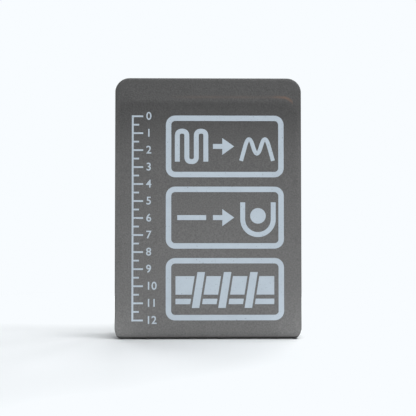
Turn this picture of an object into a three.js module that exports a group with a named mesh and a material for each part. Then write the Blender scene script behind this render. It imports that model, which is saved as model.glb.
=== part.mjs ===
// A padded aluminium splint: a thin sheet of soft aluminium between two layers of closed-cell foam.
// The strip is folded flat in a zigzag and stands on its lower folds, with its printed face towards -Y.
// Millimetres and degrees, +Z up. The origin is on the floor, under the middle of the folded stack.
import * as THREE from "three";
import { mergeVertices } from "three/addons/utils/BufferGeometryUtils.js";

// The unfolded strip
const stripLength = 914.4;
const stripWidth = 110;
const stripCornerRadius = 8.5;

// Its three layers
const foamThickness = 1.8; // each foam layer, where it covers the core
const coreThickness = 0.4;
const coreCornerRadius = 5;
const glueGap = 0.1; // on each side of the core, and between the foam layers past it

// The foam border past the core, where the two foam layers are pressed together
const sideMargin = 3.2;
const endMargin = 11.8;
const marginSqueeze = 0.25; // how much thinner each layer is there
const drapeWidth = 1.1; // the slope by which a layer comes down from the core's edge

// The folded stack
const foldInnerRadius = 0.3; // on the inside of each bend
const lowerFoldFlat = 1.3; // across the crest of a fold at the base
const upperFoldFlat = 0.5; // across the crest of a fold at the top
const upperFoldDrop = 2.4; // how far a fold's crest stays below the free ends
const panelGap = 0.4; // between two panels where they are pressed together
const endTilt = 5; // how far a free end leans in over the fold beside it
const foldPullIn = 1.6; // how far a fold draws in the strip's edges
const foldPullReach = 9.5; // how far along the strip from a crest it does so

// One row for each fold, from the printed front to the back, with shares of the sizes above
const folds = [
  { at: "base", flat: 1, drop: 0 },
  { at: "top", flat: 1, drop: 1 },
  { at: "base", flat: 1.15, drop: 0 },
  { at: "top", flat: 1.4, drop: 0.65 },
  { at: "base", flat: 1, drop: 0 },
];

// Facets
const bendStep = THREE.MathUtils.degToRad(18);
const cornerSteps = 5;
const pullSteps = [0.65, 1]; // shares of a fold's reach
const closestStations = 0.05;
const lengthTolerance = 1e-6;

const panelCount = folds.length + 1;
const coreWidth = stripWidth - 2 * sideMargin;
const halfThickness = coreThickness / 2 + glueGap + foamThickness;
const halfThicknessOfMargin = glueGap / 2 + foamThickness - marginSqueeze;
const bendRadius = foldInnerRadius + halfThickness;
const pocketStart = endMargin - glueGap;
const drapeStart = pocketStart - drapeWidth;

// How far each panel's middle line is from the front panel's, at the base and at the top.
// The last panel is upright, so what the two ends differ by makes the front panel lean back.
function panelPlaces() {
  const pressed = 2 * halfThickness + panelGap;
  const atBase = [0];
  const atTop = [0];
  for (const fold of folds) {
    const flat = fold.flat * (fold.at === "base" ? lowerFoldFlat : upperFoldFlat);
    const joined = 2 * bendRadius + flat;
    atBase.push(atBase.at(-1) + (fold.at === "base" ? joined : pressed));
    atTop.push(atTop.at(-1) + (fold.at === "top" ? joined : pressed));
  }
  const shift = atBase.at(-1) - atTop.at(-1);
  return { atBase, atTop: atTop.map((y) => y + shift) };
}

// The corners of the strip's middle line, seen from the side, for a stack of some height.
function middleCorners(height) {
  const { atBase, atTop } = panelPlaces();
  const onPanel = (panel, z) => {
    const share = (z - halfThickness) / (height - halfThickness);
    return new THREE.Vector2(THREE.MathUtils.lerp(atBase[panel], atTop[panel], share), z);
  };
  const freeEnd = (panel, tilt) => {
    const bend = onPanel(panel, height - drapeStart);
    const upwards = onPanel(panel, height).sub(bend).normalize();
    const tilted = upwards.rotateAround(new THREE.Vector2(), THREE.MathUtils.degToRad(tilt));
    return [bend.clone().addScaledVector(tilted, drapeStart), bend];
  };
  const crests = folds.flatMap((fold, panel) => {
    const inset = halfThickness + fold.drop * upperFoldDrop;
    const z = fold.at === "base" ? inset : height - inset;
    return [onPanel(panel, z), onPanel(panel + 1, z)];
  });
  return [...freeEnd(0, -endTilt), ...crests, ...freeEnd(panelCount - 1, endTilt).reverse()];
}

// The middle line as straight runs with a round bend at each corner between them.
function middleLine(height) {
  const corners = middleCorners(height);
  const pieces = [];
  let from = corners[0];
  let start = 0;
  const add = (heading, turn, length) => {
    pieces.push({ from, heading, turn, length, start });
    start += length;
  };
  corners.slice(1).forEach((corner, i) => {
    const heading = corner.clone().sub(corners[i]).normalize();
    const after = corners[i + 2];
    if (!after) {
      add(heading, 0, from.distanceTo(corner));
      return;
    }
    const next = after.clone().sub(corner).normalize();
    const turn = Math.atan2(heading.cross(next), heading.dot(next));
    const tangent = bendRadius * Math.tan(Math.abs(turn) / 2);
    const bendFrom = corner.clone().addScaledVector(heading, -tangent);
    add(heading, 0, from.distanceTo(bendFrom));
    from = bendFrom;
    add(heading, turn, bendRadius * Math.abs(turn));
    from = corner.clone().addScaledVector(next, tangent);
  });
  return { pieces, length: start };
}

// The height at which the folded strip has its full length.
function stackHeight() {
  let height = 0;
  let missing = stripLength;
  while (Math.abs(missing) > lengthTolerance) {
    height += missing / panelCount;
    missing = stripLength - middleLine(height).length;
  }
  return height;
}

const { pieces } = middleLine(stackHeight());

// Where the folds' crests are along the strip: the middles of its level runs.
const crests = pieces
  .filter(({ heading, turn }) => turn === 0 && Math.abs(heading.x) > Math.abs(heading.y))
  .map(({ start, length }) => start + length / 2);

// The point of the middle line at a distance along the strip, and the way out of its rear face.
function pointAt(along) {
  const { from, heading, turn, length, start } = pieces.findLast((piece) => piece.start <= along);
  const gone = along - start;
  const angle = (gone / length) * turn;
  const headingNow = heading.clone().rotateAround(new THREE.Vector2(), angle);
  const normal = new THREE.Vector2(-headingNow.y, headingNow.x);
  if (turn === 0) {
    return { point: from.clone().addScaledVector(heading, gone), normal };
  }
  const inwards = Math.sign(turn) * bendRadius;
  const normalAtStart = new THREE.Vector2(-heading.y, heading.x);
  const centre = from.clone().addScaledVector(normalAtStart, inwards);
  return { point: centre.addScaledVector(normal, -inwards), normal };
}

const fromNearestEnd = (along) => Math.min(along, stripLength - along);

// Half the width of a strip with round corners, at a distance from its end.
function halfWidthAt(fromEnd, width, radius) {
  const intoCorner = THREE.MathUtils.clamp(radius - fromEnd, 0, radius);
  return width / 2 - radius + Math.sqrt(radius ** 2 - intoCorner ** 2);
}

const stripHalfWidthAt = (along) => halfWidthAt(fromNearestEnd(along), stripWidth, stripCornerRadius);

function coreHalfWidthAt(along) {
  const fromCoreEnd = Math.max(0, fromNearestEnd(along) - endMargin);
  const outline = halfWidthAt(fromCoreEnd, coreWidth, coreCornerRadius);
  return Math.min(outline, stripHalfWidthAt(along) - sideMargin);
}

function pullInAt(along) {
  const away = Math.min(...crests.map((crest) => Math.abs(along - crest)));
  return foldPullIn * Math.max(0, 1 - away / foldPullReach) ** 2;
}

// How far a foam layer is lifted by the core: 1 over it, and 0 past the foot of the drape round it.
function liftAt(along, x) {
  const pastSide = Math.abs(x) - coreHalfWidthAt(along) - glueGap;
  const pastEnd = pocketStart - fromNearestEnd(along);
  return 1 - THREE.MathUtils.clamp(Math.max(pastSide, pastEnd) / drapeWidth, 0, 1);
}

const foamInnerFace = (along, x) =>
  THREE.MathUtils.lerp(glueGap / 2, coreThickness / 2 + glueGap, liftAt(along, x));

const foamOuterFace = (along, x) =>
  THREE.MathUtils.lerp(halfThicknessOfMargin, halfThickness, liftAt(along, x));

// Places across a foam layer: its edges, the feet of the drapes and the edges of the core's pocket.
function foamColumnsAt(along) {
  const edge = stripHalfWidthAt(along) - pullInAt(along);
  const pocket = coreHalfWidthAt(along) + glueGap;
  const foot = Math.min(pocket + drapeWidth, (pocket + edge) / 2);
  return [-edge, -foot, -pocket, pocket, foot, edge];
}

function coreColumnsAt(along) {
  const edge = coreHalfWidthAt(along);
  return [-edge, edge];
}

// Distances from an end at which the round corners of a sheet that starts at an inset have points.
function cornerStations(inset, radius) {
  const steps = Array.from({ length: cornerSteps + 1 }, (_, i) => (i / cornerSteps) * (Math.PI / 2));
  return steps.map((angle) => inset + radius * (1 - Math.cos(angle)));
}

// Distances along the strip at which a sheet has a row of points, given those it needs at each end.
function stationsFor(atEnds, atPlaces) {
  const inset = Math.min(...atEnds);
  const atBends = pieces.flatMap(({ start, length, turn }) => {
    const steps = Math.max(1, Math.round(Math.abs(turn) / bendStep));
    return Array.from({ length: steps }, (_, i) => start + (length * i) / steps);
  });
  const wanted = [...atEnds, ...atEnds.map((fromEnd) => stripLength - fromEnd), ...atBends, ...atPlaces];
  const kept = [];
  for (const station of wanted.sort((a, b) => a - b)) {
    const isOnSheet = station >= inset && station <= stripLength - inset;
    const isApart = kept.length === 0 || station - kept.at(-1) > closestStations;
    if (isOnSheet && isApart) kept.push(station);
  }
  return kept;
}

// A sheet laid along the folded strip, as one closed solid. Its two faces are given as depths behind
// the middle line, front and rear, at a place that is some way along the strip and across it.
function bentSheet(stations, columnsAt, frontAt, rearAt) {
  const across = columnsAt(0).length - 1;
  const along = stations.length - 1;
  const sheet = new THREE.BoxGeometry(across, along, 1, across, along, 1);
  sheet.deleteAttribute("normal");
  sheet.deleteAttribute("uv");
  const places = sheet.getAttribute("position");
  for (let i = 0; i < places.count; i += 1) {
    const station = stations[Math.round(places.getY(i) + along / 2)];
    const x = columnsAt(station)[Math.round(places.getX(i) + across / 2)];
    const depth = places.getZ(i) < 0 ? frontAt(station, x) : rearAt(station, x);
    const { point, normal } = pointAt(station);
    point.addScaledVector(normal, depth);
    places.setXYZ(i, x, point.x, point.y);
  }
  const solid = mergeVertices(sheet);
  solid.computeVertexNormals();
  return solid;
}

function foamStations() {
  const atEnds = [
    ...cornerStations(0, stripCornerRadius),
    drapeStart,
    pocketStart,
    ...cornerStations(endMargin, coreCornerRadius).slice(1),
  ];
  const fromCrest = pullSteps.map((share) => share * foldPullReach);
  const atFolds = crests.flatMap((crest) => fromCrest.flatMap((away) => [crest - away, crest + away]));
  return stationsFor(atEnds, atFolds);
}

function foamFace() {
  const frontAt = (along, x) => -foamOuterFace(along, x);
  const rearAt = (along, x) => -foamInnerFace(along, x);
  return bentSheet(foamStations(), foamColumnsAt, frontAt, rearAt);
}

function foamBack() {
  return bentSheet(foamStations(), foamColumnsAt, foamInnerFace, foamOuterFace);
}

function aluminiumCore() {
  const stations = stationsFor(cornerStations(endMargin, coreCornerRadius), []);
  return bentSheet(stations, coreColumnsAt, () => -coreThickness / 2, () => coreThickness / 2);
}

const printedFoam = new THREE.MeshStandardMaterial({ color: 0x626262, roughness: 0.85, metalness: 0 });
const plainFoam = new THREE.MeshStandardMaterial({ color: 0x5c5c5c, roughness: 0.85, metalness: 0 });
const softAluminium = new THREE.MeshStandardMaterial({ color: 0xb9bcc0, roughness: 0.45, metalness: 1 });

const splint = new THREE.Group();
for (const [name, geometry, material] of [
  ["foam_face", foamFace(), printedFoam],
  ["aluminium_core", aluminiumCore(), softAluminium],
  ["foam_back", foamBack(), plainFoam],
]) {
  const piece = new THREE.Mesh(geometry, material);
  piece.name = name;
  splint.add(piece);
}

// The origin is under the middle of the stack's depth.
const bounds = new THREE.Box3().setFromObject(splint);
splint.position.y = -(bounds.min.y + bounds.max.y) / 2;

export default splint;
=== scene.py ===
import math

import bmesh
import bpy
import numpy as np
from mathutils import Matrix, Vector
from mathutils.geometry import tessellate_polygon


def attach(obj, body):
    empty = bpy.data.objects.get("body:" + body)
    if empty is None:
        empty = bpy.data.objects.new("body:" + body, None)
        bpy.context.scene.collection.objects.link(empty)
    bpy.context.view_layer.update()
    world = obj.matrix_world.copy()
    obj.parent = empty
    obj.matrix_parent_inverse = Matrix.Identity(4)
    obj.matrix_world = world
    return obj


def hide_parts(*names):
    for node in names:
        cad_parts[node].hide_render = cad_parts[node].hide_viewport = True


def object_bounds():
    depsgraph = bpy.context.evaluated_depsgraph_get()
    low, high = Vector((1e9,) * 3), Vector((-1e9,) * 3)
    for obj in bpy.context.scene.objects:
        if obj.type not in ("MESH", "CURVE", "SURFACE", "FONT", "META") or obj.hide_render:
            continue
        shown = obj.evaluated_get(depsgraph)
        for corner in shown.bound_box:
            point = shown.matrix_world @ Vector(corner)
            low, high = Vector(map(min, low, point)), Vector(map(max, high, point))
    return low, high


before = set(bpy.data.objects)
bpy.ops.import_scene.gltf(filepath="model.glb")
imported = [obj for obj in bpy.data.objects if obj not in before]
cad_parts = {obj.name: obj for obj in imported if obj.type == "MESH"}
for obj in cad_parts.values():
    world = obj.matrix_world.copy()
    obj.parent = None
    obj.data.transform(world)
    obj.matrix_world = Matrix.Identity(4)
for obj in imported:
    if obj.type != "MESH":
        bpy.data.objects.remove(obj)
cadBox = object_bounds()

# Lengths are in millimetres and angles in degrees until a mesh, lamp or camera is made from them.
mm = 0.001
nearZero = 1e-9  # keeps a division by no length from failing

strip = {
    "length": 914.4,
    "width": 110.0,
    "cornerRadius": 8.5,
    "foamThickness": 1.8,
    "coreThickness": 0.4,
    "coreCornerRadius": 6.0,
    "glueGap": 0.1,
    "sideMargin": 3.2,
    "endMargin": 11.8,
    "marginSqueeze": 0.25,  # how much thinner a layer is past the core
    "drapeWidth": 1.7,  # how far the inner face takes to come down past the core
    "browCorner": 8.5,  # corner radius of the raised part of the outer face
    "browInside": 3.6,  # how far inside the core's edge that face starts to fall towards an end
    "browFoot": 3.6,  # how far outside it the fall ends
    "browEase": 0.42,  # share of the fall that is rounded over at its top
    "sideInside": 1.5,  # the same two distances for the fall towards the sides
    "sideFoot": 2.9,
}

stack = {
    "foldInnerRadius": 0.3,
    "lowerFoldFlat": 1.3,
    "upperFoldFlat": 0.5,
    "upperFoldDrop": 2.4,
    "panelGap": 0.4,
    "endTilt": 5.0,  # how far each free end leans in over the stack
    "foldPullIn": 1.6,  # how far the cut edges draw in at a fold
    "leftShare": 0.75,  # of that on either side
    "rightShare": 1.2,
    "foldPullReach": 6.2,
    "passes": 8,  # of the search for the height
    "folds": [  # from the printed front to the back, with shares of the flat and the drop above
        {"at": "base", "flat": 1.0, "drop": 0.0},
        {"at": "top", "flat": 1.0, "drop": 1.0},
        {"at": "base", "flat": 1.15, "drop": 0.0},
        {"at": "top", "flat": 1.4, "drop": 0.65},
        {"at": "base", "flat": 1.0, "drop": 0.0},
    ],
}

halfThickness = strip["coreThickness"] / 2 + strip["glueGap"] + strip["foamThickness"]
marginHalfThickness = strip["glueGap"] / 2 + strip["foamThickness"] - strip["marginSqueeze"]
bendRadius = stack["foldInnerRadius"] + halfThickness
pocketStart = strip["endMargin"] - strip["glueGap"]
panelCount = len(stack["folds"]) + 1


def panelPlaces():
    # how far back each panel's middle line is, at the base and at the top
    closed = 2 * halfThickness + stack["panelGap"]
    atBase, atTop = [0.0], [0.0]
    for fold in stack["folds"]:
        low = fold["at"] == "base"
        crest = fold["flat"] * (stack["lowerFoldFlat"] if low else stack["upperFoldFlat"])
        joined = 2 * bendRadius + crest
        atBase.append(atBase[-1] + (joined if low else closed))
        atTop.append(atTop[-1] + (closed if low else joined))
    shift = atBase[-1] - atTop[-1]
    return atBase, [y + shift for y in atTop]


def unit(vector):
    return vector / np.hypot(*vector)


def turned(vectors, angles):
    c, s = np.cos(angles), np.sin(angles)
    x, y = vectors[..., 0], vectors[..., 1]
    return np.stack([x * c - y * s, x * s + y * c], -1)


def middleCorners(height):
    # the corners of the strip's middle line, seen from the side
    atBase, atTop = panelPlaces()
    tiltStart = pocketStart - strip["browFoot"]

    def onPanel(panel, z):
        share = (z - halfThickness) / (height - halfThickness)
        return np.array([atBase[panel] + (atTop[panel] - atBase[panel]) * share, z])

    def freeEnd(panel, tilt):
        bend = onPanel(panel, height - tiltStart)
        upwards = unit(onPanel(panel, height) - bend)
        return [bend + turned(upwards, math.radians(tilt)) * tiltStart, bend]

    corners = freeEnd(0, -stack["endTilt"])
    for panel, fold in enumerate(stack["folds"]):
        inset = halfThickness + fold["drop"] * stack["upperFoldDrop"]
        z = inset if fold["at"] == "base" else height - inset
        corners += [onPanel(panel, z), onPanel(panel + 1, z)]
    return corners + freeEnd(panelCount - 1, stack["endTilt"])[::-1]


def middleLine(height):
    # straight runs with a round bend at each corner: start, length, first point, heading, turn
    corners = middleCorners(height)
    runs, place, start = [], corners[0], 0.0
    for before, corner, after in zip(corners, corners[1:], [*corners[2:], None]):
        heading = unit(corner - before)
        if after is None:
            runs.append((start, np.hypot(*(corner - place)), place, heading, 0.0))
            break
        ahead = unit(after - corner)
        turn = math.atan2(heading[0] * ahead[1] - heading[1] * ahead[0], heading @ ahead)
        tangent = bendRadius * math.tan(abs(turn) / 2)
        bendFrom = corner - heading * tangent
        runs.append((start, np.hypot(*(bendFrom - place)), place, heading, 0.0))
        start += runs[-1][1]
        runs.append((start, bendRadius * abs(turn), bendFrom, heading, turn))
        start += runs[-1][1]
        place = corner + ahead * tangent
    return runs


def foldedRuns():
    # the height is where the folded strip has its full length; a few passes settle it
    height, missing = 0.0, strip["length"]
    for _ in range(stack["passes"]):
        height += missing / panelCount
        runs = middleLine(height)
        missing = strip["length"] - (runs[-1][0] + runs[-1][1])
    return runs


runs = foldedRuns()
runStarts = np.array([run[0] for run in runs])
runLengths = np.array([run[1] for run in runs])
runPlaces = np.array([run[2] for run in runs])
runHeadings = np.array([run[3] for run in runs])
runTurns = np.array([run[4] for run in runs])
crests = [run[0] + run[1] / 2 for run in runs if run[4] == 0 and abs(run[3][0]) > abs(run[3][1])]
depthCentre = panelPlaces()[0][-1] / 2


def middleAt(along):
    # the middle line's (y, z) at a distance along the strip, and the way towards the strip's rear side
    i = np.clip(np.searchsorted(runStarts, along, side="right") - 1, 0, len(runs) - 1)
    gone = along - runStarts[i]
    angle = runTurns[i] * gone / runLengths[i]
    heading = turned(runHeadings[i], angle)
    normal = turned(heading, math.pi / 2)
    inwards = (np.sign(runTurns[i]) * bendRadius)[..., None]
    centre = runPlaces[i] + turned(runHeadings[i], math.pi / 2) * inwards
    straight = runPlaces[i] + runHeadings[i] * gone[..., None]
    point = np.where(runTurns[i][..., None] == 0, straight, centre - normal * inwards)
    return point - np.array([depthCentre, 0.0]), normal


def fromNearestEnd(along):
    return np.minimum(along, strip["length"] - along)


def fromNearestCrest(along):
    return np.min([np.abs(along - crest) for crest in crests], axis=0)


def halfWidthAt(along, side):
    r = strip["cornerRadius"]
    intoCorner = np.clip(r - fromNearestEnd(along), 0, r)
    pullIn = stack["foldPullIn"] * np.where(side < 0, stack["leftShare"], stack["rightShare"])
    fromFold = np.clip(fromNearestCrest(along) / stack["foldPullReach"], 0, 1)
    pullIn = pullIn * np.cos(fromFold * math.pi / 2) ** 2
    return strip["width"] / 2 - r + np.sqrt(r * r - intoCorner**2) - pullIn


def insideOutline(along, x):
    # distance in from the strip's cut edge
    r = strip["cornerRadius"]
    fromSide = halfWidthAt(along, x) - np.abs(x)
    fromEnd = fromNearestEnd(along)
    cornerAcross = np.abs(x) - (strip["width"] / 2 - r)
    cornerAlong = r - fromEnd
    inCorner = (cornerAcross > 0) & (cornerAlong > 0)
    return np.where(inCorner, r - np.hypot(cornerAcross, cornerAlong), np.minimum(fromSide, fromEnd))


def pastCore(along, x, r):
    # distance out from the aluminium's edge, for a corner radius, and how much of it is endwards
    across = np.maximum(np.abs(x) - (strip["width"] / 2 - strip["sideMargin"] - r), 0)
    lengthwise = np.maximum(strip["endMargin"] + r - fromNearestEnd(along), 0)
    reach = np.hypot(across, lengthwise)
    endwards = (lengthwise / np.maximum(reach, nearZero)) ** 2
    return reach - r - strip["glueGap"], endwards


def eased(share):
    share = np.clip(share, 0, 1)
    return share * share * (3 - 2 * share)


def liftAt(along, x):
    # the inner face: 1 over the core, easing to 0 past the foot of the drape round it
    return eased(1 - pastCore(along, x, strip["coreCornerRadius"])[0] / strip["drapeWidth"])


def faceLiftAt(along, x):
    # the outer face, which falls away more gently towards the strip's ends than towards its sides
    past, endwards = pastCore(along, x, strip["browCorner"])
    ease = strip["browEase"]
    up = np.clip((strip["browFoot"] - past) / (strip["browFoot"] + strip["browInside"]), 0, 1)
    gentle = np.where(up < 1 - ease, up / (1 - ease / 2), 1 - (1 - up) ** 2 / (ease * (2 - ease)))
    steep = eased((strip["sideFoot"] - past) / (strip["sideFoot"] + strip["sideInside"]))
    return steep * (1 - endwards) + gentle * endwards


foam = {
    "rim": 1.0,  # how deep the cut edge is rounded over, and how far in
    "rimReach": 2.2,
    "innerRim": 0.15,
    "waviness": 0.07,
    "wave": 46.0,  # the waves' length, and the shares of it that they range between
    "waveSpread": (0.6, 1.8),
    "waveSeed": 7,
    "waveCount": 9,
    "calmReach": 8.0,  # no waves this near a fold, where the sheet is drawn tight
    "panelStep": 3.3,  # spacing of the mesh's rows: on a panel, near the strip's ends, beside a fold
    "endStep": 0.4,
    "endZone": 19.0,
    "crestStep": 0.45,
    "crestZone": (4.3, 7.0),
    "bendSteps": 14,
    "bentFrom": 30.0,  # a turn of more than this is a fold
    "closest": 0.04,  # a row nearer to the one before it is left out
    "middleColumns": 26,
    "edgeZone": 10.0,
    "edgeStep": 0.45,
    "rimRows": [0.0, 0.04, 0.12, 0.25, 0.43, 0.67],
}

paintedMarginLight = {  # painted light on the margin round the core, which is made lighter than the face over the core
    "start": 4.2,  # how far inside the core's edge it starts at the ends
    "width": 3.0,
    "side": 0.7,  # its strength along the sides, times a factor that falls by 1 away from the ends
    "sideMost": 1.3,
    "sideFade": 120.0,
}

paintedContactShade = {  # painted shade: the underside of a lower fold, to either side of its crest, darkened where it stands on the floor
    "reach": 2.9,
    "fade": 0.9,
}

ridgeLine = {
    "past": 0.2,  # where the mark is strongest, out from the core's edge
    "width": 0.75,
    "reach": 20.0,  # how far from the strip's end it shows at all
    "from": -24.0,  # where it sets in across the strip
    "fade": 12.0,
    "corner": 45.0,
    "cornerWidth": 5.0,
    "faint": 0.28,  # its strength away from the corner
}


def waveAt(along, x):
    # slow unevenness of the sheet: a sum of slanting waves
    rng = np.random.default_rng(foam["waveSeed"])
    total = np.zeros(np.broadcast(along, x).shape)
    for _ in range(foam["waveCount"]):
        way = rng.uniform(0, math.pi)
        wave = foam["wave"] * rng.uniform(*foam["waveSpread"])
        phase = rng.uniform(0, 2 * math.pi)
        total += np.sin((along * math.cos(way) + x * math.sin(way)) * 2 * math.pi / wave + phase)
    calm = np.clip((fromNearestCrest(along) - foam["calmReach"]) / foam["calmReach"], 0, 1)
    return foam["waviness"] * calm * total / math.sqrt(foam["waveCount"])


def rounded(inside, reach, depth):
    # how far a face falls away near the cut edge
    into = np.clip(1 - inside / reach, 0, 1)
    return depth * (1 - np.sqrt(1 - into * into))


def outerDepth(along, x):
    lift = faceLiftAt(along, x)
    depth = marginHalfThickness + (halfThickness - marginHalfThickness) * lift
    edge = rounded(insideOutline(along, x), foam["rimReach"], foam["rim"])
    return depth + waveAt(along, x) * lift - edge


def innerDepth(along, x):
    pocket = strip["coreThickness"] / 2 + strip["glueGap"]
    seam = strip["glueGap"] / 2
    depth = seam + (pocket - seam) * liftAt(along, x)
    return depth + rounded(insideOutline(along, x), foam["innerRim"], foam["innerRim"])


def onStrip(along, x, depth):
    point, normal = middleAt(along)
    yz = point + normal * depth[..., None]
    return np.stack([x, yz[..., 0], yz[..., 1]], -1)


def stationsAlong():
    length = strip["length"]
    stations = [*np.arange(0, foam["endZone"], foam["endStep"]), *foam["rimRows"]]
    stations += [length - s for s in stations]
    for start, runLength, _, _, turn in runs:
        bent = abs(turn) > math.radians(foam["bentFrom"])
        steps = foam["bendSteps"] if bent else max(1, round(runLength / foam["panelStep"]))
        stations += [start + runLength * i / steps for i in range(steps)]
    beside = np.arange(*foam["crestZone"], foam["crestStep"])
    for crest in crests:
        stations += [crest + side * away for side in (-1, 1) for away in beside]
    stations = np.unique(np.round(stations, 4))
    stations = stations[(stations > 0) & (stations < length)]
    kept = [0.0]
    for s in stations:
        if min(s - kept[-1], length - s) > foam["closest"]:
            kept.append(s)
    return np.array([*kept, length])


def columnsAcross():
    # shares of the half width, from one cut edge to the other
    half = strip["width"] / 2
    rim = foam["rimRows"]
    edge = np.arange(rim[-1] + foam["edgeStep"], foam["edgeZone"], foam["edgeStep"])
    inner = half - foam["edgeZone"]
    middle = np.linspace(-inner, inner, foam["middleColumns"])
    side = np.array([half - d for d in [*rim, *edge]])
    return np.concatenate([-side, middle, side[::-1]]) / half


def meshObject(name, points, faces, material, uvs, smooth=True):
    mesh = bpy.data.meshes.new(name)
    mesh.from_pydata([tuple(p) for p in points * mm], [], faces)
    mesh.polygons.foreach_set("use_smooth", [smooth] * len(mesh.polygons))
    layer = mesh.uv_layers.new(name="unfolded")
    corner = np.zeros(len(mesh.loops), int)
    mesh.loops.foreach_get("vertex_index", corner)
    layer.data.foreach_set("uv", (uvs[corner] * mm).ravel())
    mesh.materials.append(material)
    piece = bpy.data.objects.new(name, mesh)
    bpy.context.collection.objects.link(piece)
    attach(piece, "root")
    return piece


def rubbedAt(along, x):
    # a warm, lighter line along the ridge over the core's top edge, most of all at its right corner
    past = pastCore(along, x, strip["browCorner"])[0]
    ridge = np.exp(-(((past - ridgeLine["past"]) / ridgeLine["width"]) ** 2)) * (along < ridgeLine["reach"])
    onset = np.clip((x - ridgeLine["from"]) / ridgeLine["fade"], 0, 1)
    corner = np.exp(-(((x - ridgeLine["corner"]) / ridgeLine["cornerWidth"]) ** 2))
    strength = ridgeLine["faint"] + (1 - ridgeLine["faint"]) * corner
    return ridge * onset * strength * (x < ridgeLine["corner"] + ridgeLine["cornerWidth"])


def soiledAt(along):
    # painted shade on the undersides of the lower folds, which it stands on
    low = np.array([crest for crest, fold in zip(crests, stack["folds"]) if fold["at"] == "base"])
    away = np.min([np.abs(along - crest) for crest in low], axis=0)
    return np.clip((paintedContactShade["reach"] - away) / paintedContactShade["fade"], 0, 1)


def pressedAt(along, x):
    # painted light on the margin round the core, strongest at the strip's two ends
    past, endwards = pastCore(along, x, strip["browCorner"])
    atEnd = eased((past + paintedMarginLight["start"]) / paintedMarginLight["width"])
    atSide = eased((past + strip["sideInside"]) / (strip["sideFoot"] + strip["sideInside"]))
    fading = paintedMarginLight["sideMost"] - eased(fromNearestEnd(along) / paintedMarginLight["sideFade"])
    atSide = atSide * paintedMarginLight["side"] * fading
    return atSide * (1 - endwards) + atEnd * endwards


def foamSheet(name, side, material):
    # a closed sheet: its outer face, its inner face and the cut edge between them
    along = stationsAlong()[:, None]
    shares = columnsAcross()[None, :]
    x = halfWidthAt(along, shares) * shares
    along = np.broadcast_to(along, x.shape)
    rows, columns = x.shape
    outer = onStrip(along, x, side * outerDepth(along, x)).reshape(-1, 3)
    inner = onStrip(along, x, side * innerDepth(along, x)).reshape(-1, 3)
    count = rows * columns
    cell = (np.arange(rows - 1)[:, None] * columns + np.arange(columns - 1)[None, :]).ravel()
    quads = np.stack([cell, cell + 1, cell + columns + 1, cell + columns], -1)
    down = np.arange(rows) * columns
    border = [*range(columns), *(down[1:] + columns - 1)]
    border += [*((rows - 1) * columns + np.arange(columns - 1)[::-1]), *down[1:-1][::-1]]
    border = np.array(border)
    ahead = np.roll(border, -1)
    rim = np.stack([border, border + count, ahead + count, ahead], -1)
    faces = np.concatenate([quads, quads[:, ::-1] + count, rim])
    if side > 0:
        faces = faces[:, ::-1]
    uvs = np.stack([x, along], -1).reshape(-1, 2)
    sheet = meshObject(name, np.concatenate([outer, inner]), faces.tolist(), material,
                       np.concatenate([uvs, uvs]))
    # marks that the foam's material reads: a warm line on the ridge, painted light on the core's margin,
    # painted shade under the lower folds
    marks = {
        "warmRidgeMark": rubbedAt(along, x) * (side < 0),
        "paintedMarginLight": pressedAt(along, x),
        "paintedContactShade": np.broadcast_to(soiledAt(along) * (side < 0), x.shape),
    }
    for markName, mark in marks.items():
        attribute = sheet.data.attributes.new(markName, "FLOAT", "POINT")
        attribute.data.foreach_set("value", np.tile(mark.ravel(), 2).astype(np.float32))
    return sheet


def linearColour(hexColour):
    # an sRGB hex value as the linear colour that a shader takes
    parts = [int(hexColour[i:i + 2], 16) / 255 for i in (1, 3, 5)]
    return tuple(c / 12.92 if c <= 0.04045 else ((c + 0.055) / 1.055) ** 2.4 for c in parts) + (1.0,)


def addNode(tree, kind, settings=None, links=None):
    node = tree.nodes.new(kind)
    for key, value in (settings or {}).items():
        if isinstance(key, str) and hasattr(node, key):
            setattr(node, key, value)
        else:
            node.inputs[key].default_value = value
    for key, source in (links or {}).items():
        tree.links.new(source, node.inputs[key])
    return node


def newMaterial(name):
    material = bpy.data.materials.new(name)
    material.use_nodes = True
    material.node_tree.nodes.clear()
    return material, material.node_tree


foamLook = {
    "dark": "#4D4C4B",
    "light": "#676564",
    "ridgeLineTone": "#7C6152",
    "shadeRange": (0.3, 0.85),  # of the noise, from the dark tone to the light one
    "grain": 0.8,  # the real cells are about 0.3 mm and wouldn't show
    "cell": 1.1,
    "cloud": 14.0,
    "cloudShare": 0.12,
    "grainDepth": 0.09,
    "cellDepth": 0.06,
    "paintedShading": 0.1,  # painted shade: how much the sheet's tone comes and goes along the strip, darker at the front panel's top and lighter lower down
    "paintedShadingLength": 230.0,
    "endTone": 0.68,  # painted shade: the two ends of the strip are darker
    "endShadeFade": (12.0, 50.0),
    # painted shade under the lower folds
    "contactShadeTone": -0.8,
    "marginLightTone": 0.33,  # painted light: the margin round the core is a little lighter
    "roughness": 0.85,
    "ior": 1.5,
}


def toneDrift(tree, place, share, length):
    # painted shade and light: a slow wave of tone along the strip, lowest at its end
    apart = addNode(tree, "ShaderNodeSeparateXYZ", None, {0: place})
    angle = addNode(tree, "ShaderNodeMath", {
        "operation": "MULTIPLY", 1: 2 * math.pi / (length * mm),
    }, {0: apart.outputs["Y"]})
    wave = addNode(tree, "ShaderNodeMath", {"operation": "COSINE"}, {0: angle.outputs[0]})
    tone = addNode(tree, "ShaderNodeMath", {
        "operation": "MULTIPLY_ADD", 1: -share, 2: 1.0,
    }, {0: wave.outputs[0]})
    return tone.outputs[0]


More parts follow.
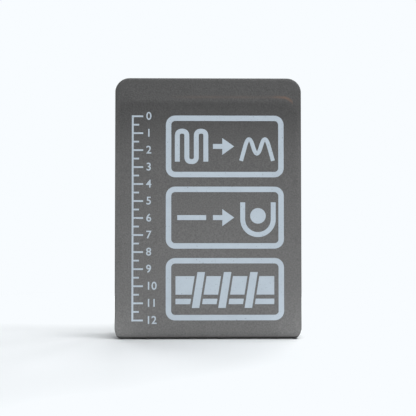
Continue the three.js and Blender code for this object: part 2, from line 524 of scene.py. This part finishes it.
def endTone(tree, place):
    # painted shade: the foam darker towards either end of the strip
    apart = addNode(tree, "ShaderNodeSeparateXYZ", None, {0: place})
    fromEnd = addNode(tree, "ShaderNodeMath", {
        "operation": "PINGPONG", 1: strip["length"] / 2 * mm,
    }, {0: apart.outputs["Y"]})
    start, full = foamLook["endShadeFade"]
    return addNode(tree, "ShaderNodeMapRange", {
        "interpolation_type": "SMOOTHSTEP", "From Min": start * mm, "From Max": full * mm,
        "To Min": foamLook["endTone"],
    }, {"Value": fromEnd.outputs[0]}).outputs["Result"]


def scaledColour(tree, colour, tone):
    scaled = addNode(tree, "ShaderNodeVectorMath", {"operation": "SCALE"}, {0: colour, "Scale": tone})
    return scaled.outputs[0]


def closedCellFoam(name, withRidgeLine):
    # closed-cell polyethylene foam, split into sheets: a matt, finely pitted skin with no gloss
    look = foamLook
    material, tree = newMaterial(name)
    place = addNode(tree, "ShaderNodeUVMap", {"uv_map": "unfolded"}).outputs["UV"]
    solid = addNode(tree, "ShaderNodeTexCoord").outputs["Object"]
    grain = addNode(tree, "ShaderNodeTexNoise", {
        "Scale": 1 / (look["grain"] * mm), "Detail": 3.0, "Roughness": 0.6,
    }, {"Vector": solid}).outputs["Fac"]
    cloud = addNode(tree, "ShaderNodeTexNoise", {
        "Scale": 1 / (look["cloud"] * mm), "Detail": 2.0,
    }, {"Vector": solid}).outputs["Fac"]
    cells = addNode(tree, "ShaderNodeTexVoronoi", {
        "Scale": 1 / (look["cell"] * mm), "feature": "SMOOTH_F1", "Smoothness": 0.4,
    }, {"Vector": solid}).outputs["Distance"]
    mottle = addNode(tree, "ShaderNodeMath", {
        "operation": "MULTIPLY_ADD", 1: look["cloudShare"],
    }, {0: cloud, 2: grain})
    shade = addNode(tree, "ShaderNodeMapRange", {
        "From Min": look["shadeRange"][0], "From Max": look["shadeRange"][1],
    }, {"Value": mottle.outputs[0]}).outputs["Result"]
    colour = addNode(tree, "ShaderNodeMix", {
        "data_type": "RGBA", 6: linearColour(look["dark"]), 7: linearColour(look["light"]),
    }, {0: shade}).outputs[2]
    # painted shade: darker towards the strip's ends and along a slow wave, lighter further down the front
    # panel
    tones = [toneDrift(tree, place, look["paintedShading"], look["paintedShadingLength"]), endTone(tree, place)]
    # painted light on the margin round the core, and painted shade under the lower folds
    for markName, change in (("paintedMarginLight", look["marginLightTone"]), ("paintedContactShade", look["contactShadeTone"])):
        mark = addNode(tree, "ShaderNodeAttribute", {"attribute_name": markName}).outputs["Fac"]
        tones.append(addNode(tree, "ShaderNodeMath", {
            "operation": "MULTIPLY_ADD", 1: change, 2: 1.0,
        }, {0: mark}).outputs[0])
    for tone in tones:
        colour = scaledColour(tree, colour, tone)
    # a warm, lighter line in patches along the ridge over the core's top edge
    if withRidgeLine:
        ridgeMark = addNode(tree, "ShaderNodeAttribute", {"attribute_name": "warmRidgeMark"}).outputs["Fac"]
        patchy = addNode(tree, "ShaderNodeMath", {"operation": "MULTIPLY"}, {0: ridgeMark, 1: cloud})
        colour = addNode(tree, "ShaderNodeMix", {
            "data_type": "RGBA", 7: linearColour(look["ridgeLineTone"]),
        }, {0: patchy.outputs[0], 6: colour}).outputs[2]
    fine = addNode(tree, "ShaderNodeBump", {
        "Strength": 1.0, "Distance": look["grainDepth"] * mm,
    }, {"Height": grain}).outputs["Normal"]
    pitted = addNode(tree, "ShaderNodeBump", {
        "Strength": 1.0, "Distance": look["cellDepth"] * mm,
    }, {"Height": cells, "Normal": fine}).outputs["Normal"]
    skin = addNode(tree, "ShaderNodeBsdfPrincipled", {
        "Roughness": look["roughness"], "IOR": look["ior"],
    }, {"Base Color": colour, "Normal": pitted})
    addNode(tree, "ShaderNodeOutputMaterial", None, {"Surface": skin.outputs["BSDF"]})
    return material


printedFoam = closedCellFoam("closedCellFoamPrintedSide", True)
foamFace = foamSheet("foam_face_sheet", -1, printedFoam)
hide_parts("foam_face")
plainFoam = closedCellFoam("closedCellFoamPlainSide", False)
foamBack = foamSheet("foam_back_sheet", 1, plainFoam)
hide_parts("foam_back")
print("foam sheets laid:", len(foamFace.data.polygons), "faces each")


coreLook = {
    "metal": "#C9CBCD",
    "lineWidth": 0.25,
    "lineLength": 30.0,
    "lineDepth": 0.004,
    "roughnessLow": 0.28,
    "roughnessHigh": 0.42,
}


def rolledAluminium():
    # soft aluminium sheet, cold rolled: fine straight lines along the strip that spread the shine
    look = coreLook
    material, tree = newMaterial("rolledAluminium")
    place = addNode(tree, "ShaderNodeTexCoord").outputs["Object"]
    across, lengthwise = 1 / (look["lineWidth"] * mm), 1 / (look["lineLength"] * mm)
    drawn = addNode(tree, "ShaderNodeMapping", {"Scale": (across, lengthwise, lengthwise)}, {"Vector": place})
    lines = addNode(tree, "ShaderNodeTexNoise", {"Scale": 1.0, "Detail": 2.0}, {"Vector": drawn.outputs[0]})
    rough = addNode(tree, "ShaderNodeMapRange", {
        "To Min": look["roughnessLow"], "To Max": look["roughnessHigh"],
    }, {"Value": lines.outputs["Fac"]})
    relief = addNode(tree, "ShaderNodeBump", {
        "Strength": 1.0, "Distance": look["lineDepth"] * mm,
    }, {"Height": lines.outputs["Fac"]})
    metal = addNode(tree, "ShaderNodeBsdfPrincipled", {
        "Base Color": linearColour(look["metal"]), "Metallic": 1.0,
    }, {"Roughness": rough.outputs["Result"], "Normal": relief.outputs["Normal"]})
    addNode(tree, "ShaderNodeOutputMaterial", None, {"Surface": metal.outputs["BSDF"]})
    return material


for slot in bpy.data.objects["aluminium_core"].material_slots:
    slot.material = rolledAluminium()
print("rolled aluminium set on the core")


printed = {
    "proud": 0.035,  # the ink's top above the foam, and its foot below the foam's face
    "sunk": 0.03,
    "facet": 3.5,  # the most that a flat face spans, so that the ink follows the foam
    "merge": 0.0001,
    "cornerSteps": 8,
    "scale": {
        "x": -44.5, "top": 23.0, "length": 120.0, "line": 1.1, "tick": 1.0, "step": 5.0, "short": 3.2,
        "long": 5.6, "digits": 4.6, "fontSize": 1.4, "boldness": 0.09, "gap": 1.7,
    },
    "frames": {
        "left": -25.0, "right": 44.5, "top": 22.5, "height": 36.5, "gap": 5.5, "line": 3.2, "corner": 5.5,
    },
    "stroke": 2.9,
}

motifs = {  # drawn round the middle of a frame
    "arrow": {"left": -7.0, "right": 5.5, "head": 5.0, "headLength": 7.0},
    "folded": [(-28, -9), (-28, 9), (-22.4, 9), (-22.4, -9),
               (-16.8, -9), (-16.8, 9), (-11.2, 9), (-11.2, -9)],
    "foldedCorner": 2.8,
    "opened": [(9.6, -8.5), (14.3, 8.5), (19.0, -8.5), (23.7, 8.5), (28.4, -8.5)],
    "openedCorner": 2.6,
    "openedStroke": 0.8,
    "flat": [(-28, 0), (-11, 0)],
    "trough": {"x": 19.5, "y": -1.0, "radius": 9.0, "wall": 9.0, "steps": 24},
    "limb": {"x": 19.5, "y": 1.0, "radius": 4.6, "end": 345, "steps": 23},
    "wraps": {"middles": [-15.5, 0.0, 15.5], "half": 2.2, "low": -11.0, "high": 10.0, "slant": 0.16},
    "wrapped": {"half": 29.0, "rows": [(-3.2, 7.6), (-8.8, -5.6)], "clear": 1.3},
}


def arcPoints(centre, radius, start, end, steps):
    angles = np.radians(np.linspace(start, end, steps + 1))
    return [(centre[0] + radius * math.cos(a), centre[1] + radius * math.sin(a)) for a in angles]


def roundedBox(left, low, right, high, radius):
    corners = [(right - radius, high - radius, 0), (left + radius, high - radius, 90),
               (left + radius, low + radius, 180), (right - radius, low + radius, 270)]
    return [p for x, y, a in corners for p in arcPoints((x, y), radius, a, a + 90, printed["cornerSteps"])]


def roundedPath(points, radius):
    # a line through the points with its inner corners rounded
    path = [np.array(points[0], float)]
    for before, corner, after in zip(points, points[1:], points[2:]):
        before, corner, after = (np.array(p, float) for p in (before, corner, after))
        inwards, onwards = unit(before - corner), unit(after - corner)
        halfAngle = math.acos(np.clip(inwards @ onwards, -1, 1)) / 2
        shorter = min(np.hypot(*(before - corner)), np.hypot(*(after - corner)))
        tangent = min(radius / math.tan(halfAngle), shorter / 2)
        start, end = corner + inwards * tangent, corner + onwards * tangent
        for t in np.linspace(0, 1, 2 * printed["cornerSteps"]):
            path.append(start * (1 - t) ** 2 + corner * 2 * t * (1 - t) + end * t * t)
    path.append(np.array(points[-1], float))
    return path


def band(path, width):
    # the outline of a stroke of one width along a path
    path = np.array([p for i, p in enumerate(path) if i == 0 or np.hypot(*(p - path[i - 1])) > nearZero])
    heading = np.gradient(path, axis=0)
    heading /= np.hypot(heading[:, 0], heading[:, 1])[:, None]
    aside = np.stack([-heading[:, 1], heading[:, 0]], -1) * width / 2
    return [tuple(p) for p in [*(path + aside), *(path - aside)[::-1]]]


def oblong(left, right, low, high, leftSlant=0.0, rightSlant=0.0):
    # four corners; a slant moves a side as it goes up from the middle
    return [(left + leftSlant * low, low), (right + rightSlant * low, low),
            (right + rightSlant * high, high), (left + leftSlant * high, high)]


def arrow():
    look = motifs["arrow"]
    half, head = printed["stroke"] / 2, look["head"]
    left, right = look["left"], look["right"]
    neck = right - look["headLength"]
    return [(left, -half), (neck, -half), (neck, -head), (right, 0), (neck, head), (neck, half), (left, half)]


def unfoldingMotif():
    # the folded strip, an arrow and the strip drawn out
    folded = roundedPath(motifs["folded"], motifs["foldedCorner"])
    opened = roundedPath(motifs["opened"], motifs["openedCorner"])
    thin = printed["stroke"] * motifs["openedStroke"]
    return [[band(folded, printed["stroke"])], [arrow()], [band(opened, thin)]]


def shapingMotif():
    # the flat strip, an arrow, and the strip bent to a trough with a limb in it
    bend, limb = motifs["trough"], motifs["limb"]
    left, right = bend["x"] - bend["radius"], bend["x"] + bend["radius"]
    bottom = arcPoints((bend["x"], bend["y"]), bend["radius"], 180, 360, bend["steps"])
    trough = [(left, bend["wall"]), (left, 0), *bottom, (right, 0), (right, bend["wall"])]
    bands = [band([np.array(p, float) for p in path], printed["stroke"]) for path in (motifs["flat"], trough)]
    return [[bands[0]], [arrow()], [bands[1]],
            [arcPoints((limb["x"], limb["y"]), limb["radius"], 0, limb["end"], limb["steps"])]]


def wrappingMotif():
    # a limb on its splint, held by three slanting wraps
    wraps, wrapped = motifs["wraps"], motifs["wrapped"]
    half, clear, slant = wraps["half"], wrapped["clear"], wraps["slant"]
    shapes = []
    for middle in wraps["middles"]:
        shapes.append([oblong(middle - half, middle + half, wraps["low"], wraps["high"], slant, slant)])
    lefts = [(-wrapped["half"], 0.0), *((middle + half + clear, slant) for middle in wraps["middles"])]
    rights = [*((middle - half - clear, slant) for middle in wraps["middles"]), (wrapped["half"], 0.0)]
    for low, high in wrapped["rows"]:
        for (left, leftSlant), (right, rightSlant) in zip(lefts, rights):
            shapes.append([oblong(left, right, low, high, leftSlant, rightSlant)])
    return shapes


def scaleShapes():
    rule = printed["scale"]
    foot, half, tick = rule["top"] + rule["length"], rule["line"] / 2, rule["tick"] / 2
    start = rule["x"] + half
    shapes = [[oblong(rule["x"] - half, start, -foot - half, -rule["top"] + half)]]
    for i in range(round(rule["length"] / rule["step"]) + 1):
        y = -rule["top"] - i * rule["step"]
        end = start + (rule["short"] if i % 2 else rule["long"])
        shapes.append([oblong(start, end, y - tick, y + tick)])
    return shapes


def frameShapes():
    box = printed["frames"]
    shapes = []
    for i, motif in enumerate((unfoldingMotif(), shapingMotif(), wrappingMotif())):
        high = -box["top"] - i * (box["height"] + box["gap"])
        low = high - box["height"]
        outer = roundedBox(box["left"], low, box["right"], high, box["corner"])
        inset = box["line"]
        inner = roundedBox(box["left"] + inset, low + inset, box["right"] - inset, high - inset,
                           box["corner"] - inset)
        shapes.append([outer, inner])
        middle = ((box["left"] + box["right"]) / 2, (low + high) / 2)
        shapes += [[[(x + middle[0], y + middle[1]) for x, y in loop] for loop in shape] for shape in motif]
    return shapes


def filled(shapes):
    # flat faces for outlines with holes, in the plan of the unfolded strip: across, and up from its end
    plan = bmesh.new()
    for shape in shapes:
        corners = [plan.verts.new((x, y, 0)) for loop in shape for x, y in loop]
        for a, b, c in tessellate_polygon([[Vector((x, y, 0)) for x, y in loop] for loop in shape]):
            plan.faces.new((corners[a], corners[b], corners[c]))
    return plan


def addDigits(plan):
    # plain numbers beside the scale's long ticks
    rule = printed["scale"]
    left = rule["x"] + rule["line"] / 2 + rule["long"] + rule["gap"]
    for i in range(round(rule["length"] / rule["step"] / 2) + 1):
        text = bpy.data.curves.new("digits", "FONT")
        text.body = str(i)
        text.size = rule["digits"] * rule["fontSize"]
        text.align_x, text.align_y = "LEFT", "CENTER"
        text.offset = rule["boldness"]
        carrier = bpy.data.objects.new("digits", text)
        bpy.context.collection.objects.link(carrier)
        drawn = bpy.data.meshes.new_from_object(carrier.evaluated_get(bpy.context.evaluated_depsgraph_get()))
        bpy.data.objects.remove(carrier)
        at = Vector((left, -rule["top"] - i * 2 * rule["step"], 0))
        for vertex in drawn.vertices:
            vertex.co = vertex.co + at
        plan.from_mesh(drawn)
        bpy.data.meshes.remove(drawn)


def inkOnFoam(name, plan, material):
    # lays the plan's faces on the front foam as a thin closed layer
    bmesh.ops.remove_doubles(plan, verts=plan.verts[:], dist=printed["merge"])
    low = np.min([v.co[:] for v in plan.verts], axis=0)
    high = np.max([v.co[:] for v in plan.verts], axis=0)
    for axis, way in ((0, (1, 0, 0)), (1, (0, 1, 0))):
        for at in np.arange(low[axis] + printed["facet"], high[axis], printed["facet"]):
            geometry = [*plan.verts, *plan.edges, *plan.faces]
            bmesh.ops.bisect_plane(plan, geom=geometry, plane_co=Vector(way) * at, plane_no=way)
    bmesh.ops.triangulate(plan, faces=plan.faces[:])
    plan.normal_update()
    for face in plan.faces:
        if face.normal.z < 0:
            face.normal_flip()
    plan.verts.index_update()
    places = np.array([v.co[:] for v in plan.verts])
    x, along = places[:, 0], -places[:, 1]
    depth = outerDepth(along, x)
    top = onStrip(along, x, -(depth + printed["proud"]))
    foot = onStrip(along, x, -(depth - printed["sunk"]))
    count = len(places)
    faces = []
    for face in plan.faces:
        corners = [v.index for v in face.verts]
        faces += [corners, [i + count for i in reversed(corners)]]
        for loop in face.loops:
            if loop.edge.is_boundary:
                a, b = loop.vert.index, loop.link_loop_next.vert.index
                faces.append([b, a, a + count, b + count])
    plan.free()
    uvs = np.stack([x, along], -1)
    return meshObject(name, np.concatenate([top, foot]), faces, material,
                      np.concatenate([uvs, uvs]), smooth=False)


inkLook = {
    "ink": "#AEB8C0",
    "thin": "#A4ADB6",
    "bare": "#6E7378",
    "speck": 0.9,
    "missing": (0.36, 0.26),  # of the speck noise, from where the coat thins to where it is gone
    "cloud": 9.0,
    "relief": 0.03,
    # painted light and shade: the ink lighter at the strip's end and darker further down, the reverse of the
    # foam's
    "paintedShading": -0.12,
    "paintedShadingLength": 300.0,
    "roughness": 0.7,
}


def screenPrintInk():
    # matt ink screened on to the foam: a pale, even coat, a little thinner in places, missing in the pits
    look = inkLook
    material, tree = newMaterial("screenPrintInk")
    place = addNode(tree, "ShaderNodeUVMap", {"uv_map": "unfolded"}).outputs["UV"]
    specks = addNode(tree, "ShaderNodeTexNoise", {
        "Scale": 1 / (look["speck"] * mm), "Detail": 2.0, "Roughness": 0.6,
    }, {"Vector": place}).outputs["Fac"]
    cloud = addNode(tree, "ShaderNodeTexNoise", {
        "Scale": 1 / (look["cloud"] * mm), "Detail": 2.0,
    }, {"Vector": place}).outputs["Fac"]
    coat = addNode(tree, "ShaderNodeMix", {
        "data_type": "RGBA", 6: linearColour(look["thin"]), 7: linearColour(look["ink"]),
    }, {0: cloud}).outputs[2]
    missed = addNode(tree, "ShaderNodeMapRange", {
        "From Min": look["missing"][0], "From Max": look["missing"][1],
    }, {"Value": specks}).outputs["Result"]
    colour = addNode(tree, "ShaderNodeMix", {
        "data_type": "RGBA", 7: linearColour(look["bare"]),
    }, {0: missed, 6: coat}).outputs[2]
    # painted light and shade along the strip, the reverse of the foam's painted shade
    colour = scaledColour(tree, colour, toneDrift(tree, place, look["paintedShading"], look["paintedShadingLength"]))
    relief = addNode(tree, "ShaderNodeBump", {
        "Strength": 1.0, "Distance": look["relief"] * mm,
    }, {"Height": specks}).outputs["Normal"]
    skin = addNode(tree, "ShaderNodeBsdfPrincipled", {
        "Roughness": look["roughness"],
    }, {"Base Color": colour, "Normal": relief})
    addNode(tree, "ShaderNodeOutputMaterial", None, {"Surface": skin.outputs["BSDF"]})
    return material


ink = screenPrintInk()
scalePlan = filled(scaleShapes())
addDigits(scalePlan)
inkScale = inkOnFoam("printed_scale", scalePlan, ink)
inkFrames = inkOnFoam("printed_steps", filled(frameShapes()), ink)
print("print laid on the front:", len(inkScale.data.polygons), "and", len(inkFrames.data.polygons), "faces")


stage = {
    "background": "#F8FCFF",
    "cameraDistance": 500.0,  # to the front panel
    "frameAcross": 244.1,  # what the picture takes in at that distance
    "aimAside": -0.2,
    "aimHeight": 77.0,
    "cameraHeight": 71.5,  # a little below its aim
    "turn": 0.9,  # how far round to its left the camera stands
    "sensor": 36.0,
    "clip": (20.0, 50000.0),
    "floorReach": 1000.0,
    "floorTone": 0.9,
    "floorFade": (220.0, 320.0),
}

softboxes = {
    "overheadRightFront": {"place": (280, -150, 600), "aim": (280, -150, 0), "size": 240, "power": 1.9},
    "overheadRight": {"place": (300, 125, 600), "aim": (300, 125, 0), "size": 250, "power": 1.55},
    "overheadFront": {"place": (0, -120, 600), "aim": (0, -120, 0), "size": 180, "power": 0.96},
    "overheadLeft": {"place": (-300, 300, 600), "aim": (-300, 300, 0), "size": 160, "power": 0.75},
    "rearLeft": {"place": (-400, 800, 150), "aim": (0, 0, 40), "size": 250, "power": 4.07},
    "rearMiddle": {"place": (0, 800, 150), "aim": (0, 0, 40), "size": 250, "power": 6.72},
    "rearRight": {"place": (400, 800, 700), "aim": (0, 0, 40), "size": 250, "power": 2.51},
    "lowFront": {"place": (0, -300, 48), "aim": (0, 0, 10), "size": 80, "power": 0.18},
}

cards = {  # these light the splint and not the floor
    "faceCard": {"place": (0, -300, 44), "aim": (0, 0, 10), "size": 80, "power": 0.43},
    "leftCard": {"place": (-300, -60, 110), "aim": (-55, 0, 100), "size": 120, "power": 0.14},
    "topCard": {"place": (0, 10, 330), "aim": (0, 0, 150), "size": 60, "power": 0.1},
    "lowCardLeft": {"place": (-57, -36, 3), "aim": (-54, -16, 3), "size": 12, "power": 0.0026},
    "lowCardMiddle": {"place": (0, -60, 5), "aim": (0, -16, 3), "size": 40, "power": 0.0018},
    "lowCardRight": {"place": (57, -36, 3), "aim": (54, -16, 3), "size": 12, "power": 0.0028},
}


def aimed(thing, place, target):
    thing.location = Vector(place) * mm
    direction = Vector(target) - Vector(place)
    thing.rotation_mode = "QUATERNION"
    thing.rotation_quaternion = direction.to_track_quat("-Z", "Y")
    bpy.context.collection.objects.link(thing)


def setCamera():
    lens = bpy.data.cameras.new("photoCamera")
    lens.sensor_width = stage["sensor"]
    lens.lens = lens.sensor_width * stage["cameraDistance"] / stage["frameAcross"]
    lens.clip_start, lens.clip_end = (limit * mm for limit in stage["clip"])
    camera = bpy.data.objects.new("photoCamera", lens)
    turn = math.radians(stage["turn"])
    target = Vector((stage["aimAside"], cadBox[0].y / mm, stage["aimHeight"]))
    place = target + Vector((-math.sin(turn), -math.cos(turn), 0)) * stage["cameraDistance"]
    place.z = stage["cameraHeight"]
    aimed(camera, place, target)
    bpy.context.scene.camera = camera


def addSoftbox(name, box):
    lamp = bpy.data.lights.new(name, "AREA")
    lamp.shape = "SQUARE"
    lamp.size = box["size"] * mm
    lamp.energy = box["power"]
    lampObject = bpy.data.objects.new(name, lamp)
    lampObject.visible_camera = False
    aimed(lampObject, box["place"], box["aim"])
    return lampObject


def paleFloor():
    # a white table top, which runs out into the pale room round it
    material, tree = newMaterial("whiteTableTop")
    place = addNode(tree, "ShaderNodeTexCoord").outputs["Object"]
    away = addNode(tree, "ShaderNodeVectorMath", {"operation": "LENGTH"}, {0: place}).outputs["Value"]
    start, gone = stage["floorFade"]
    faded = addNode(tree, "ShaderNodeMapRange", {
        "interpolation_type": "SMOOTHSTEP", "From Min": start * mm, "From Max": gone * mm,
    }, {"Value": away}).outputs["Result"]
    tone = stage["floorTone"]
    top = addNode(tree, "ShaderNodeBsdfDiffuse", {"Color": (tone, tone, tone, 1)})
    clear = addNode(tree, "ShaderNodeBsdfTransparent")
    mixed = addNode(tree, "ShaderNodeMixShader", None, {
        0: faded, 1: top.outputs[0], 2: clear.outputs[0],
    })
    addNode(tree, "ShaderNodeOutputMaterial", None, {"Surface": mixed.outputs[0]})
    mesh = bpy.data.meshes.new("floor")
    reach = stage["floorReach"] * mm
    corners = [(x, y, 0) for x, y in oblong(-reach, reach, -reach, reach)]
    mesh.from_pydata(corners, [], [(0, 1, 2, 3)])
    mesh.materials.append(material)
    floor = bpy.data.objects.new("floor", mesh)
    bpy.context.collection.objects.link(floor)


def paleRoom():
    # white to the camera, and no light of its own: the softboxes do all of it
    world = bpy.data.worlds.new("paleRoom")
    world.use_nodes = True
    tree = world.node_tree
    tree.nodes.clear()
    seen = addNode(tree, "ShaderNodeBackground", {"Color": (1, 1, 1, 1), "Strength": 1.0})
    cast = addNode(tree, "ShaderNodeBackground", {"Color": (1, 1, 1, 1), "Strength": 0.0})
    path = addNode(tree, "ShaderNodeLightPath")
    mixed = addNode(tree, "ShaderNodeMixShader", None, {
        0: path.outputs["Is Camera Ray"], 1: cast.outputs[0], 2: seen.outputs[0],
    })
    addNode(tree, "ShaderNodeOutputWorld", None, {"Surface": mixed.outputs[0]})
    bpy.context.scene.world = world


def whiteLevel():
    # the brightest that the picture shows is the photo's pale background
    view = bpy.context.scene.view_settings
    view.view_transform = "Standard"
    view.use_curve_mapping = True
    curves = view.curve_mapping
    curves.extend = "HORIZONTAL"
    for channel, top in zip(curves.curves[:3], linearColour(stage["background"])):
        channel.points[-1].location = (1.0, top)
    curves.update()


setCamera()
litAlone = bpy.data.collections.new("litByCards")
for piece in (foamFace, foamBack, inkScale, inkFrames):
    litAlone.objects.link(piece)
for name, box in softboxes.items():
    addSoftbox(name, box)
for name, card in cards.items():
    addSoftbox(name, card).light_linking.receiver_collection = litAlone
paleFloor()
paleRoom()
whiteLevel()
print("camera, floor and light set")
